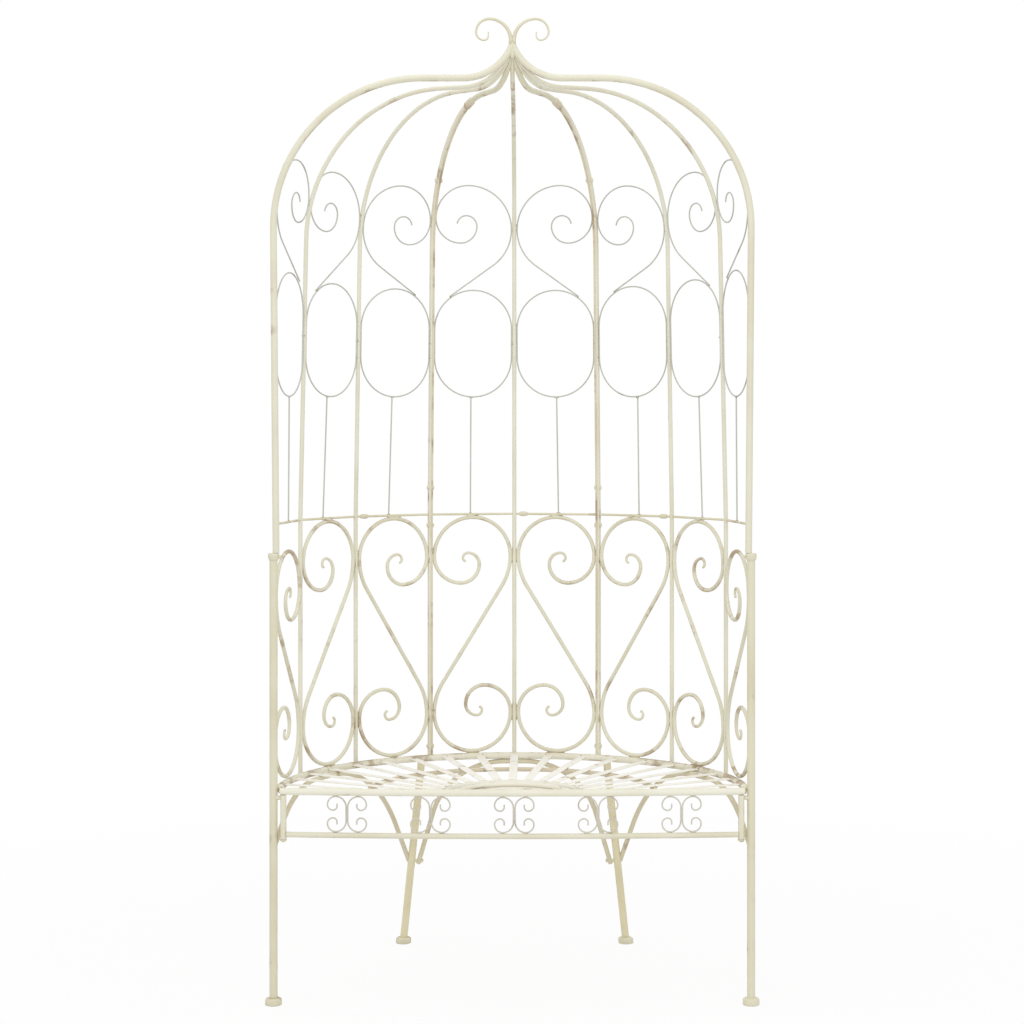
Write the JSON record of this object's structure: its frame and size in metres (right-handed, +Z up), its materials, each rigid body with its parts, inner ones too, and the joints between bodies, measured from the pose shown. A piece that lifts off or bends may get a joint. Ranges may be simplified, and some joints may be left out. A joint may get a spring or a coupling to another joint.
{
  "type": "garden bench",
  "caption": "Half-round garden bench of bent painted iron, with a fan of seat slats and a tall birdcage back of ribs, scrolls and ovals that meet in a domed crown.",
  "frame": {"origin": "on the floor, under the centre of the bounding box", "axes": "+Z up, +Y from the open front towards the back, +X to the right as seen from the front"},
  "size_m": [0.975, 0.6154, 1.9477],
  "materials": {
    "frame_paint": "antique cream paint, rubbed at the edges",
    "seat_paint": "antique cream paint, lightly rubbed",
    "scroll_paint": "antique cream paint with brown rub-through",
    "wire_paint": "thin antique cream paint with dark rub-through",
    "fitting_paint": "antique cream paint over bolts, caps and ferrules"
  },
  "bodies": {
    "root": {"apron_lower_rail": "seat_paint", "apron_lugs": "fitting_paint", "apron_scrolls": "scroll_paint", "apron_uprights": "seat_paint", "brace_arch_left": "frame_paint", "brace_arch_rear": "frame_paint", "brace_arch_right": "frame_paint", "brace_bolts": "fitting_paint", "collar_bolts": "fitting_paint", "crown_arm_left": "frame_paint", "crown_arm_right": "frame_paint", "crown_curls": "scroll_paint", "foot_caps_front": "fitting_paint", "foot_caps_rear": "fitting_paint", "front_arch_left": "frame_paint", "front_arch_right": "frame_paint", "front_post_left": "frame_paint", "front_post_right": "frame_paint", "joint_bar_left_back": "frame_paint", "joint_bar_left_front": "frame_paint", "joint_bar_right_back": "frame_paint", "joint_bar_right_front": "frame_paint", "joint_bolts": "fitting_paint", "lower_scroll_1": "scroll_paint", "lower_scroll_2": "scroll_paint", "lower_scroll_3": "scroll_paint", "lower_scroll_4": "scroll_paint", "lower_scroll_5": "scroll_paint", "lower_scroll_6": "scroll_paint", "lower_scroll_7": "scroll_paint", "lower_scroll_8": "scroll_paint", "ovals_back": "wire_paint", "ovals_left": "wire_paint", "ovals_right": "wire_paint", "post_collars": "fitting_paint", "rail_bars_back": "wire_paint", "rail_bars_left": "wire_paint", "rail_bars_right": "wire_paint", "rail_ferrules": "fitting_paint", "rear_leg_left": "frame_paint", "rear_leg_right": "frame_paint", "rib_back": "frame_paint", "rib_left_front": "frame_paint", "rib_left_rear": "frame_paint", "rib_right_front": "frame_paint", "rib_right_rear": "frame_paint", "seat_centre_plate": "seat_paint", "seat_front_bar": "seat_paint", "seat_inner_arc": "seat_paint", "seat_inner_ring": "seat_paint", "seat_mid_ring": "seat_paint", "seat_outer_ring": "seat_paint", "seat_slats": "seat_paint", "stay_wires_back": "wire_paint", "stay_wires_left": "wire_paint", "stay_wires_right": "wire_paint", "upper_scrolls_back": "wire_paint", "upper_scrolls_left": "wire_paint", "upper_scrolls_right": "wire_paint", "upright_end_caps": "fitting_paint"}
  },
  "joints": []
}
